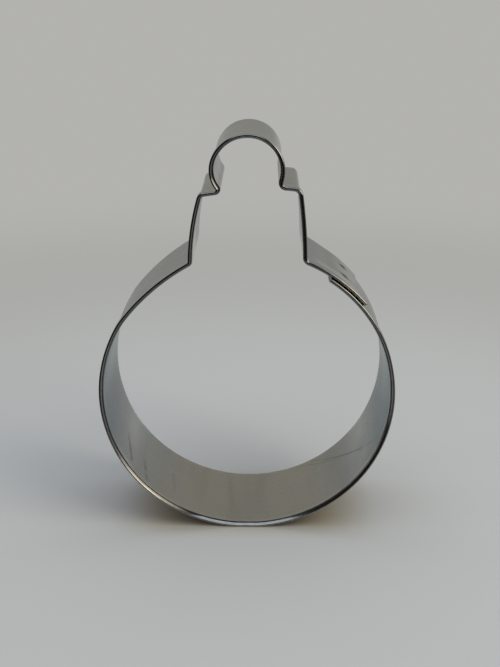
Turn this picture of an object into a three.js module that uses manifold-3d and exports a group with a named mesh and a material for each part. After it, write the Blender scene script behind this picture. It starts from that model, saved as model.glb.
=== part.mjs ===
// Cookie cutter with the outline of a round tree bauble: one steel strip, bent to a ball, a neck and a
// hanging loop, hemmed along the edge that the hand presses, lapped and spot welded on its right shoulder.
// Millimetres, +Z up. The cutter stands on its ball, its hem faces -Y and its cutting edge faces +Y.
import * as THREE from 'three';
import { mergeVertices } from 'three/addons/utils/BufferGeometryUtils.js';
import Module from 'manifold-3d';

// Strip
const SHEET = 0.4;
const STRIP_WIDTH = 22;
const HEM_WIDTH = 2.1;
const HEM_SLIT = 0.1;

// Nose of the hem: its inside is a slow bevel, and its outside is a tight fold
const BEVEL_RADIUS = 2;
const BEVEL_END = THREE.MathUtils.degToRad(50);
const FOLD_RADIUS = 0.15;

// Ball, measured to the inner face of the strip and placed about the ball's own centre
const BALL_RADIUS = 28.82;
const REST_FLAT = 4;

// Neck, with its left and right sides bent by hand and so not quite alike
const NECK_LEFT_BASE = 10.4;
const NECK_LEFT_TOP = 8.4;
const NECK_LEFT_HEIGHT = 40.7;
const NECK_LEFT_CURVE = 50;
const NECK_RIGHT_BASE = 10.8;
const NECK_RIGHT_TOP = 9.7;
const NECK_RIGHT_HEIGHT = 41.75;
const NECK_RIGHT_CURVE = 110;

// Left shoulder, a flatter curve from the ball to the foot of the neck
const SHOULDER_START = THREE.MathUtils.degToRad(147.8);
const SHOULDER_FOOT_HEIGHT = 27.5;
const SHOULDER_CURVE = 44;

// Steps between the neck and the loop, and the notches where the strip turns up into the loop
const NOTCH_LEFT = 4;
const NOTCH_LEFT_HEIGHT = 41.35;
const NOTCH_RIGHT = 5.65;
const NOTCH_RIGHT_HEIGHT = 42.15;

// Hanging loop
const LOOP_RADIUS = 6.4;
const LOOP_OFFSET = 0.18;
const LOOP_HEIGHT = 45.35;
const LOOP_LEFT_END = THREE.MathUtils.degToRad(190.5);
const LOOP_RIGHT_END = THREE.MathUtils.degToRad(4.9);

// Bends, each given by the radius on the inside of the bent metal
const BALL_BLEND_BEND = 15;
const SHOULDER_LEFT_BEND = 0.45;
const SHOULDER_RIGHT_BEND = 0.75;
const STEP_LEFT_BEND = 0.6;
const STEP_RIGHT_BEND = 1.0;
const NOTCH_LEFT_BEND = 0.2;
const NOTCH_RIGHT_BEND = 0.55;
const LOOP_LEFT_BLEND_BEND = 5;
const LOOP_RIGHT_BLEND_BEND = 6;

// Lap seam on the right shoulder: the strip's second end lies over its first end
const LAP_END = THREE.MathUtils.degToRad(40.5);
const LAP_LENGTH = 8.5;
const LAP_HEM_GAP = 0.03;
const LAP_SHEET_GAP = 0.05;
const END_SPRING = 0.15;
const END_SPRING_FROM = THREE.MathUtils.degToRad(5);
const END_SPRING_TO = THREE.MathUtils.degToRad(30);

// Spot welds in the middle of the lap
const WELD_DIAMETER = 1.5;
const WELD_REAR_INSET = 4.6;
const WELD_PITCH = 6.7;
const WELD_CLEARANCE = 0.04;
const WELD_SINK = 0.06;
const WELD_DISH = 0.05;
const WELD_RIM = 0.2;

// Facets
const BALL_STEP = THREE.MathUtils.degToRad(5);
const CURVE_STEP = THREE.MathUtils.degToRad(4);
const LOOP_STEP = THREE.MathUtils.degToRad(9);
const BEND_STEP = THREE.MathUtils.degToRad(18);
const BEVEL_FACETS = 4;
const FOLD_FACETS = 6;
const WELD_FACETS = 24;

// Sizes that follow from the ones above
const HEM_THICKNESS = 2 * SHEET + HEM_SLIT;
const FRONT_Y = -STRIP_WIDTH / 2;
const BACK_Y = STRIP_WIDTH / 2;
const HEM_Y = FRONT_Y + HEM_WIDTH;
const FOLD_X = HEM_THICKNESS - FOLD_RADIUS;
const FOLD_Y = FRONT_Y + FOLD_RADIUS;
const BEVEL_X = FOLD_X + (BEVEL_RADIUS - FOLD_RADIUS) * Math.cos(BEVEL_END);
const BEVEL_Y = FOLD_Y + (BEVEL_RADIUS - FOLD_RADIUS) * Math.sin(BEVEL_END);
const BEVEL_START = Math.acos(Math.min(BEVEL_X / BEVEL_RADIUS, 1));
const SLIT_Y = FRONT_Y + 2 * SHEET;
const WELD_REAR_Y = BACK_Y - WELD_REAR_INSET;
const WELD_FRONT_Y = WELD_REAR_Y - WELD_PITCH;
const CONTACT_Y = WELD_FRONT_Y - WELD_DIAMETER;
const REST_ANGLE = Math.asin(REST_FLAT / 2 / BALL_RADIUS);
const REST_HEIGHT = BALL_RADIUS * Math.cos(REST_ANGLE) + HEM_THICKNESS;
const LAP_INNER_RADIUS = BALL_RADIUS + END_SPRING;
const LAP_RADIUS = LAP_INNER_RADIUS + HEM_THICKNESS + LAP_HEM_GAP;
const LAP_THICKNESS = 2 * SHEET + LAP_SHEET_GAP;
const LAP_DROP = LAP_RADIUS - (LAP_INNER_RADIUS + SHEET + LAP_SHEET_GAP);
const LAP_START = LAP_END + LAP_LENGTH / LAP_RADIUS;
const WELD_ANGLE = (LAP_START + LAP_END) / 2;

const steel = { color: 0x8f8f8c, metalness: 1, roughness: 0.32 };
const weldSteel = { color: 0x6c6862, metalness: 1, roughness: 0.5 };

const wasm = await Module();
wasm.setup();

const point = (x, z) => new THREE.Vector2(x, z);
const polar = (radius, angle, centre = point(0, 0)) => point(
  centre.x + radius * Math.cos(angle),
  centre.y + radius * Math.sin(angle),
);
const leftOf = (direction) => point(-direction.y, direction.x);

// Outline, drawn as the inner face of the strip in the plane of X and Z, clockwise from the covered end.

function line(from, to) {
  return { name: 'straight', from, to };
}

// A clockwise arc about a known centre.
function arcAbout(name, centre, radius, from, to, step) {
  return { name, centre, radius, from, to, step };
}

// A clockwise arc through two points.
function arcBetween(name, from, to, radius, step) {
  const chord = to.clone().sub(from);
  const toCentre = Math.sqrt(radius ** 2 - chord.lengthSq() / 4);
  const middle = from.clone().add(to).multiplyScalar(0.5);
  const centre = middle.addScaledVector(leftOf(chord.normalize()), -toCentre);
  return arcAbout(name, centre, radius, from, to, step);
}

// How far a point lies to the left of an edge, with the direction in which that distance grows.
function leftDistance(edge, place) {
  if (edge.centre) {
    const fromCentre = place.clone().sub(edge.centre);
    return { distance: fromCentre.length() - edge.radius, growth: fromCentre.clone().normalize() };
  }
  const growth = leftOf(edge.to.clone().sub(edge.from).normalize());
  return { distance: place.clone().sub(edge.from).dot(growth), growth };
}

function directionAt(edge, place) {
  if (edge.centre) {
    return leftOf(place.clone().sub(edge.centre).normalize()).negate();
  }
  return edge.to.clone().sub(edge.from).normalize();
}

// The bend between two edges is an arc that touches both. Its centre lies one bend radius to the left of
// both edges on a left turn, or to the right of both on a right turn, and is found by Newton's method.
function bendBetween(before, after, insideRadius) {
  const corner = before.to;
  const turn = directionAt(before, corner).cross(directionAt(after, corner));
  const side = Math.sign(turn);
  const radius = side > 0 ? insideRadius + HEM_THICKNESS : insideRadius;
  const bisector = leftDistance(before, corner).growth.add(leftDistance(after, corner).growth);
  const centre = corner.clone().addScaledVector(bisector.normalize(), side * radius);
  const rounds = 20;
  for (let round = 0; round < rounds; round += 1) {
    const a = leftDistance(before, centre);
    const b = leftDistance(after, centre);
    const errorA = side * radius - a.distance;
    const errorB = side * radius - b.distance;
    const determinant = a.growth.cross(b.growth);
    centre.x += (errorA * b.growth.y - errorB * a.growth.y) / determinant;
    centre.y += (errorB * a.growth.x - errorA * b.growth.x) / determinant;
  }
  const from = centre.clone().addScaledVector(leftDistance(before, centre).growth, -side * radius);
  const to = centre.clone().addScaledVector(leftDistance(after, centre).growth, -side * radius);
  return { name: 'bend', centre, radius, from, to, step: BEND_STEP, leftTurn: side > 0 };
}

// Points along an edge, without its first one.
function pointsAlong(edge) {
  if (!edge.centre) {
    return [{ name: edge.name, at: edge.to }];
  }
  const start = edge.from.clone().sub(edge.centre).angle();
  const end = edge.to.clone().sub(edge.centre).angle();
  const fullTurn = 2 * Math.PI;
  const sweep = edge.leftTurn
    ? THREE.MathUtils.euclideanModulo(end - start, fullTurn)
    : -THREE.MathUtils.euclideanModulo(start - end, fullTurn);
  const count = Math.max(2, Math.ceil(Math.abs(sweep) / edge.step));
  return Array.from({ length: count }, (_, index) => ({
    name: edge.name,
    at: polar(edge.radius, start + (sweep * (index + 1)) / count, edge.centre),
  }));
}

function outlineStations() {
  const centre = point(0, 0);
  const loopCentre = point(LOOP_OFFSET, LOOP_HEIGHT);
  const floor = -Math.PI / 2;
  const coveredEnd = polar(BALL_RADIUS, LAP_START);
  const ballRight = polar(BALL_RADIUS, 0);
  const ballLeft = polar(BALL_RADIUS, Math.PI);
  const restRight = polar(BALL_RADIUS, floor + REST_ANGLE);
  const restLeft = polar(BALL_RADIUS, floor - REST_ANGLE);
  const shoulderStart = polar(BALL_RADIUS, SHOULDER_START);
  const shoulderFoot = point(-NECK_LEFT_BASE, SHOULDER_FOOT_HEIGHT);
  const stepLeft = point(-NECK_LEFT_TOP, NECK_LEFT_HEIGHT);
  const notchLeft = point(-NOTCH_LEFT, NOTCH_LEFT_HEIGHT);
  const loopLeft = polar(LOOP_RADIUS, LOOP_LEFT_END, loopCentre);
  const loopRight = polar(LOOP_RADIUS, LOOP_RIGHT_END, loopCentre);
  const notchRight = point(NOTCH_RIGHT, NOTCH_RIGHT_HEIGHT);
  const stepRight = point(NECK_RIGHT_TOP, NECK_RIGHT_HEIGHT);
  const lapCorner = polar(LAP_RADIUS, Math.acos(NECK_RIGHT_BASE / LAP_RADIUS));
  const lapEnd = polar(LAP_RADIUS, LAP_END);

  const edges = [
    arcAbout('coveredEnd', centre, BALL_RADIUS, coveredEnd, ballRight, BALL_STEP),
    arcAbout('ball', centre, BALL_RADIUS, ballRight, restRight, BALL_STEP),
    line(restRight, restLeft),
    arcAbout('ball', centre, BALL_RADIUS, restLeft, ballLeft, BALL_STEP),
    arcAbout('ball', centre, BALL_RADIUS, ballLeft, shoulderStart, BALL_STEP),
    arcBetween('shoulder', shoulderStart, shoulderFoot, SHOULDER_CURVE, CURVE_STEP),
    arcBetween('neck', shoulderFoot, stepLeft, NECK_LEFT_CURVE, CURVE_STEP),
    line(stepLeft, notchLeft),
    line(notchLeft, loopLeft),
    arcAbout('loop', loopCentre, LOOP_RADIUS, loopLeft, loopRight, LOOP_STEP),
    line(loopRight, notchRight),
    line(notchRight, stepRight),
    arcBetween('neck', stepRight, lapCorner, NECK_RIGHT_CURVE, CURVE_STEP),
    arcAbout('lap', centre, LAP_RADIUS, lapCorner, lapEnd, CURVE_STEP),
  ];
  const bends = [
    0,
    0,
    0,
    0,
    BALL_BLEND_BEND,
    SHOULDER_LEFT_BEND,
    STEP_LEFT_BEND,
    NOTCH_LEFT_BEND,
    LOOP_LEFT_BLEND_BEND,
    LOOP_RIGHT_BLEND_BEND,
    NOTCH_RIGHT_BEND,
    STEP_RIGHT_BEND,
    SHOULDER_RIGHT_BEND,
  ];

  const arcs = bends.map((radius, index) => (
    radius > 0 ? bendBetween(edges[index], edges[index + 1], radius) : null
  ));
  arcs.forEach((arc, index) => {
    if (arc) {
      edges[index].to = arc.from;
      edges[index + 1].from = arc.to;
    }
  });
  const pieces = edges.flatMap((edge, index) => (arcs[index] ? [edge, arcs[index]] : [edge]));
  const first = { name: edges[0].name, at: edges[0].from };
  const stations = [first, ...pieces.flatMap(pointsAlong)];
  const lapFrom = edges.at(-1).from.angle();
  return { stations, lapFrom };
}

// Section of the strip as distance outward from the inner face and depth along Y: the sheet, its front edge
// folded outward into a flat hem, and the fine slit that stays open between the sheet and the folded flap.
function stripSection() {
  const bevel = new THREE.EllipseCurve(
    BEVEL_X, BEVEL_Y, BEVEL_RADIUS, BEVEL_RADIUS, Math.PI + BEVEL_START, Math.PI + BEVEL_END,
  );
  const fold = new THREE.EllipseCurve(
    FOLD_X, FOLD_Y, FOLD_RADIUS, FOLD_RADIUS, Math.PI + BEVEL_END, 2 * Math.PI,
  );
  return [
    point(0, BACK_Y),
    point(0, CONTACT_Y),
    point(0, HEM_Y),
    ...bevel.getPoints(BEVEL_FACETS),
    ...fold.getPoints(FOLD_FACETS).slice(1),
    point(HEM_THICKNESS, HEM_Y),
    point(SHEET + HEM_SLIT, HEM_Y),
    point(SHEET + HEM_SLIT, SLIT_Y),
    point(SHEET, SLIT_Y),
    point(SHEET, HEM_Y),
    point(SHEET, CONTACT_Y),
    point(SHEET, BACK_Y),
  ];
}

// How far the strip stands off its outline. The covered end springs outward a little. The covering end
// clears the hem beneath it at the front and closes down onto the bare sheet behind the front weld.
function standOff(station, depth, lapFrom) {
  const angle = station.at.angle();
  if (station.name === 'coveredEnd' && angle < Math.PI) {
    return END_SPRING * THREE.MathUtils.smoothstep(angle, END_SPRING_FROM, END_SPRING_TO);
  }
  if (station.name === 'lap') {
    const alongLap = 1 - THREE.MathUtils.smoothstep(angle, LAP_START, lapFrom);
    const behindHem = THREE.MathUtils.clamp((depth - HEM_Y) / (CONTACT_Y - HEM_Y), 0, 1);
    return -LAP_DROP * alongLap * behindHem;
  }
  return 0;
}

// The section carried along the outline, mitred at each station, with both ends closed.
function stripGeometry() {
  const { stations, lapFrom } = outlineStations();
  const section = stripSection();
  const last = stations.length - 1;
  const normals = stations.slice(1).map((station, index) => (
    leftOf(station.at.clone().sub(stations[index].at).normalize())
  ));
  const positions = stations.flatMap((station, index) => {
    const before = normals[Math.max(index - 1, 0)];
    const after = normals[Math.min(index, last - 1)];
    const mitre = before.clone().add(after).normalize();
    const stretch = 1 / mitre.dot(after);
    return section.flatMap((corner) => {
      const outward = stretch * (corner.x + standOff(station, corner.y, lapFrom));
      return [station.at.x + outward * mitre.x, corner.y, station.at.y + outward * mitre.y];
    });
  });

  const size = section.length;
  const indices = [];
  for (let row = 0; row < last; row += 1) {
    for (let column = 0; column < size; column += 1) {
      const a = row * size + column;
      const b = row * size + ((column + 1) % size);
      indices.push(a, a + size, b + size, a, b + size, b);
    }
  }
  const lastRow = last * size;
  THREE.ShapeUtils.triangulateShape(section, []).forEach(([a, b, c]) => {
    indices.push(a, b, c, lastRow + a, lastRow + c, lastRow + b);
  });
  const geometry = new THREE.BufferGeometry();
  geometry.setAttribute('position', new THREE.Float32BufferAttribute(positions, 3));
  geometry.setIndex(indices);
  return geometry;
}

function toSolid(geometry) {
  const bare = geometry.clone();
  bare.deleteAttribute('normal');
  bare.deleteAttribute('uv');
  const merged = mergeVertices(bare);
  return new wasm.Manifold(new wasm.Mesh({
    numProp: 3,
    vertProperties: new Float32Array(merged.attributes.position.array),
    triVerts: new Uint32Array(merged.index.array),
  }));
}

function toGeometry(solid) {
  const { vertProperties, triVerts } = solid.getMesh();
  const geometry = new THREE.BufferGeometry();
  geometry.setAttribute('position', new THREE.Float32BufferAttribute(vertProperties, 3));
  geometry.setIndex(Array.from(triVerts));
  geometry.computeVertexNormals();
  return geometry;
}

// Stands a shape that is turned about +Y on the lap at one weld, with +Y pointing outward.
const weldOutward = new THREE.Vector3(Math.cos(WELD_ANGLE), 0, Math.sin(WELD_ANGLE));
const lapMiddle = LAP_INNER_RADIUS + LAP_THICKNESS / 2;

function standAtWeld(object, depth) {
  object.quaternion.setFromUnitVectors(new THREE.Vector3(0, 1, 0), weldOutward);
  object.position.copy(weldOutward).multiplyScalar(lapMiddle);
  object.position.y = depth;
  object.updateMatrix();
  return object;
}

// The hole that one weld fills through both layers of the lap.
function weldHole(depth) {
  const radius = WELD_DIAMETER / 2 + WELD_CLEARANCE;
  const length = 2 * LAP_THICKNESS;
  const hole = new THREE.Mesh(new THREE.CylinderGeometry(radius, radius, length, WELD_FACETS));
  standAtWeld(hole, depth);
  return toSolid(hole.geometry.applyMatrix4(hole.matrix));
}

// A weld is a slug through both layers, a little below their faces, with each end dished by the electrode.
function weldSlug(name, depth) {
  const radius = WELD_DIAMETER / 2;
  const half = LAP_THICKNESS / 2 - WELD_SINK;
  const rim = radius - WELD_RIM;
  const profile = [
    point(0, -half + WELD_DISH),
    point(rim, -half + WELD_DISH / 2),
    point(radius, -half),
    point(radius, half),
    point(rim, half - WELD_DISH / 2),
    point(0, half - WELD_DISH),
  ];
  const slug = new THREE.Mesh(
    new THREE.LatheGeometry(profile, WELD_FACETS),
    new THREE.MeshStandardMaterial(weldSteel),
  );
  slug.name = name;
  return standAtWeld(slug, depth);
}

function band() {
  const solid = [WELD_FRONT_Y, WELD_REAR_Y].reduce(
    (strip, depth) => strip.subtract(weldHole(depth)),
    toSolid(stripGeometry()),
  );
  const mesh = new THREE.Mesh(toGeometry(solid), new THREE.MeshStandardMaterial(steel));
  mesh.name = 'band';
  return mesh;
}

const cutter = new THREE.Group();
cutter.position.z = REST_HEIGHT;
cutter.add(
  band(),
  weldSlug('spot_weld_front', WELD_FRONT_Y),
  weldSlug('spot_weld_rear', WELD_REAR_Y),
);

export default cutter;
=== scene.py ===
"""Looks for a bauble cookie cutter: a hemmed steel strip with a spot-welded lap, on a plain pale stage."""

import math
from typing import NamedTuple

import bpy
import numpy as np
from bpy.props import FloatProperty, FloatVectorProperty, PointerProperty
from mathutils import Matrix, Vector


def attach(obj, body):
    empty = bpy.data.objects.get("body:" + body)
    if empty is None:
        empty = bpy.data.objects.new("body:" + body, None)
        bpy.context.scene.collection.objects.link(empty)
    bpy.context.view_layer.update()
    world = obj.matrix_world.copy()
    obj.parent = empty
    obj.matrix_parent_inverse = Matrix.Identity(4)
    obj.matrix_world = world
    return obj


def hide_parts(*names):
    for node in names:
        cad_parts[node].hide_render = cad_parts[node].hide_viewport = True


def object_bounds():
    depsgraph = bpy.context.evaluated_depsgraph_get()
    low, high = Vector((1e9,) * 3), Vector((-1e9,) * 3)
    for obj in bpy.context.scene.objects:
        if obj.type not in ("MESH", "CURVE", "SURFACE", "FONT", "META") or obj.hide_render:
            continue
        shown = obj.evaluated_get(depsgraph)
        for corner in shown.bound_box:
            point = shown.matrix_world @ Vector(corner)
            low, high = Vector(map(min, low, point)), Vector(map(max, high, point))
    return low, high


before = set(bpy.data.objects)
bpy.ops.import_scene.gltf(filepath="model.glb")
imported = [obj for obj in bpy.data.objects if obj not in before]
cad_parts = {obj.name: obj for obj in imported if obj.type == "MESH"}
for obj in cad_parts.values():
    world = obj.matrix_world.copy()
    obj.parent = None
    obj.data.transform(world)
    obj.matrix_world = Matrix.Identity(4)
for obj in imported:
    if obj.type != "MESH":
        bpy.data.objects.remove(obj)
CAD_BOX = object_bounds()
CAD_LOW, CAD_HIGH = (np.array(corner) for corner in CAD_BOX)

bl_info = {
    "name": "Bauble cookie cutter",
    "version": (1, 0, 0),
    "blender": (4, 5, 0),
    "location": "View3D > Sidebar > Cutter",
    "description": "Builds the dressed strip and welds of a cookie cutter, and its stage",
    "category": "Object",
}

MM = 0.001
STRIP_UV = "strip"
WEAR = "edge_wear"
HEAT = "weld_heat"
CREVICE = "crevice"


class Mark(NamedTuple):
    """One mark on the strip laid flat, in millimetres: along the strip from its covered end, and across it
    from the cutting edge. A mark bows to one side, and its strength is a share from 0 to 1."""

    start: tuple
    end: tuple
    bow: float
    width: float
    strength: float


SCRATCHES = (
    Mark((60.6, -0.8), (42.0, 15.5), 0.3, 0.22, 0.9),
    Mark((48.0, 10.4), (36.6, 20.2), 0.2, 0.2, 0.6),
    Mark((63.2, 0.2), (43.0, 14.8), 1.1, 0.2, 0.65),
    Mark((50.0, 8.6), (37.6, 19.9), 0.1, 0.18, 0.5),
)
SMEARS = (
    Mark((105.6, 10.6), (102.0, 19.6), 0.1, 0.65, 0.8),
    Mark((99.2, 12.0), (97.0, 20.8), -0.1, 0.65, 0.5),
    Mark((91.5, 8.6), (90.1, 17.0), 0.1, 0.7, 0.2),
    Mark((78.2, 2.0), (77.1, 18.4), 0.2, 0.8, 0.12),
)


def length(name, description, millimetres):
    """A length that a user may change, given here in millimetres and kept in metres."""
    return FloatProperty(
        name=name, description=description, default=millimetres * MM, unit="LENGTH", precision=5
    )


def angle(name, description, degrees):
    """An angle that a user may change, given here in degrees."""
    return FloatProperty(
        name=name, description=description, default=math.radians(degrees), unit="ROTATION"
    )


def colour(name, description, red, green, blue):
    """A linear colour that a user may change."""
    return FloatVectorProperty(
        name=name,
        description=description,
        default=(red, green, blue),
        size=3,
        min=0.0,
        max=1.0,
        subtype="COLOR",
    )


def factor(name, description, value):
    """A share from 0 to 1 that a user may change."""
    return FloatProperty(
        name=name, description=description, default=value, min=0.0, max=1.0, subtype="FACTOR"
    )


def watts(name, description, value):
    """A light's power that a user may change."""
    return FloatProperty(name=name, description=description, default=value, unit="POWER")


class CutterStrip(bpy.types.PropertyGroup):
    """Sizes of the flat strip before it is bent."""

    sheet: length("Sheet", "Thickness of the steel sheet", 0.4)
    width: FloatProperty(
        name="Width",
        description="Width of the hemmed strip, from hem to cutting edge",
        default=float(CAD_HIGH[1] - CAD_LOW[1]),
        unit="LENGTH",
    )
    hem_width: length("Hem width", "Width of the fold along the safe edge", 2.1)
    hem_slit: length("Hem slit", "Gap left open inside the fold", 0.1)
    bevel_radius: length("Bevel radius", "Radius of the slow bevel on the inside of the nose", 1.5)
    bevel_end: angle("Bevel end", "Turn at which the bevel meets the tight fold", 50.0)
    fold_radius: length("Fold radius", "Radius of the tight fold on the outside of the nose", 0.25)
    edge_round: length("Edge round", "Rounding on the sheared edges", 0.05)
    station_gap: length("Station gap", "Longest step of the mesh along the strip", 0.8)
    row_gap: length("Row gap", "Longest step of the mesh across the strip", 1.2)
    fine_gap: length("Fine gap", "Step of the mesh round the welds", 0.16)
    turn_step: angle("Turn step", "Largest turn of one mesh step in a bend", 6.0)


class CutterOutline(bpy.types.PropertyGroup):
    """Sizes of the outline, measured to the inner face of the strip about the ball's centre."""

    ball_radius: length("Ball radius", "Inside radius of the ball", 28.82)
    rest_flat: length("Rest flat", "Length of the flat that the cutter stands on", 4.0)
    neck_left_base: length("Neck left base", "Half width at the foot of the neck, left", 10.4)
    neck_left_top: length("Neck left top", "Half width at the top of the neck, left", 8.4)
    neck_left_height: length("Neck left height", "Top of the neck above the ball's centre", 40.7)
    neck_left_curve: length("Neck left curve", "Radius of the neck's left side", 50.0)
    neck_right_base: length("Neck right base", "Half width at the foot of the neck, right", 10.8)
    neck_right_top: length("Neck right top", "Half width at the top of the neck, right", 9.7)
    neck_right_height: length("Neck right height", "Top of the neck above the ball's centre", 41.75)
    neck_right_curve: length("Neck right curve", "Radius of the neck's right side", 110.0)
    shoulder_start: angle("Shoulder start", "Where the left shoulder leaves the ball", 147.8)
    shoulder_foot: length("Shoulder foot", "Height of the left shoulder's inner corner", 27.5)
    shoulder_curve: length("Shoulder curve", "Radius of the left shoulder", 44.0)
    notch_left: length("Notch left", "Half width at the foot of the loop, left", 4.0)
    notch_left_height: length("Notch left height", "Height of the loop's left foot", 41.35)
    notch_right: length("Notch right", "Half width at the foot of the loop, right", 5.65)
    notch_right_height: length("Notch right height", "Height of the loop's right foot", 42.15)
    loop_radius: length("Loop radius", "Inside radius of the hanging loop", 6.4)
    loop_offset: length("Loop offset", "Centre of the loop right of the ball's centre", 0.18)
    loop_height: length("Loop height", "Centre of the loop above the ball's centre", 45.35)
    loop_left_end: angle("Loop left end", "Where the loop's left leg leaves the circle", 190.5)
    loop_right_end: angle("Loop right end", "Where the loop's right leg leaves the circle", 4.9)
    ball_blend_bend: length("Ball blend", "Bend between the ball and the left shoulder", 15.0)
    shoulder_left_bend: length("Shoulder left bend", "Bend at the neck's left foot", 0.45)
    step_left_bend: length("Step left bend", "Bend at the neck's left top", 0.6)
    notch_left_bend: length("Notch left bend", "Bend at the loop's left foot", 0.2)
    loop_left_bend: length("Loop left bend", "Bend from the left leg into the loop", 5.0)
    loop_right_bend: length("Loop right bend", "Bend from the loop into the right leg", 6.0)
    notch_right_bend: length("Notch right bend", "Bend at the loop's right foot", 0.55)
    step_right_bend: length("Step right bend", "Bend at the neck's right top", 1.0)
    shoulder_right_bend: length("Shoulder right bend", "Bend at the neck's right foot", 0.75)


class CutterLap(bpy.types.PropertyGroup):
    """Sizes of the lapped seam and its spot welds."""

    end: angle("Lap end", "Where the covering end stops on the right shoulder", 40.5)
    overlap: length("Overlap", "How far the two ends lie over each other", 8.5)
    hem_gap: length("Hem gap", "Gap between the two hems at the front of the lap", 0.03)
    sheet_gap: length("Sheet gap", "Gap between the two sheets at the welds", 0.05)
    end_spring: length("End spring", "How far the covered end stands off the circle", 0.15)
    spring_from: angle("Spring from", "Where the covered end starts to stand off", 5.0)
    spring_to: angle("Spring to", "Where the covered end stands off in full", 30.0)
    weld_diameter: length("Weld diameter", "Diameter of a spot weld", 1.5)
    weld_rear_inset: length("Rear weld inset", "Rear weld from the cutting edge", 4.6)
    weld_pitch: length("Weld pitch", "Distance between the two welds", 6.7)
    print_depth: length("Print depth", "Depth of the electrode's print in the sheet", 0.09)
    print_lip: length("Print lip", "Height of the lip round the electrode's print", 0.02)
    print_cover: length("Print cover", "Fused metal above the floor of the print", 0.02)


class CutterFinish(bpy.types.PropertyGroup):
    """Colours and finish of the steel."""

    steel: colour("Steel", "Bare rolled steel", 0.41, 0.412, 0.41)
    worn: colour("Worn edge", "Steel rubbed bright along its edges", 0.46, 0.46, 0.455)
    scored: colour("Scored", "Steel in the long scratches and smears", 0.13, 0.128, 0.125)
    # Dirt and painted shade: this colour darkens the inside of the hem's fold and the sheet under its flap,
    # with a thin dark line just behind the flap's raw edge
    soiled_and_shaded: colour("Soiled", "Steel where dirt gathers in the seam and the fold", 0.05, 0.047, 0.042)
    weld: colour("Weld", "Fused metal of the spot welds", 0.2, 0.19, 0.175)
    roughness: factor("Roughness", "Roughness of the rolled face", 0.26)
    roughness_spread: factor("Roughness spread", "How far the roughness varies", 0.03)
    grain_height: length("Grain height", "Height of the rolling grain", 0.0005)
    wave_height: length("Wave height", "Height of the slow waves in the sheet", 0.006)
    pit_height: length("Pit height", "Height of the mottle on the fused metal", 0.02)
    grain_tone: factor("Grain tone", "Tone of the grain's darker streaks", 0.94)
    forming_tone: factor("Forming tone", "Tone of the bands left by the bending tools", 0.6)
    forming_share: factor("Forming share", "How strongly those bands show", 0.22)
    hairline_tone: factor("Hairline tone", "Tone of the stray scratches", 0.45)
    hairline_share: factor("Hairline share", "How much of that tone they take on", 0.5)
    hairline_amount: factor("Hairline amount", "How strongly the stray scratches show", 0.4)
    hairline_roughness: factor("Hairline roughness", "How much rougher the stray scratches are", 0.15)
    wear_polish: factor("Wear polish", "How much smoother the rubbed edges are", 0.13)


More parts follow.
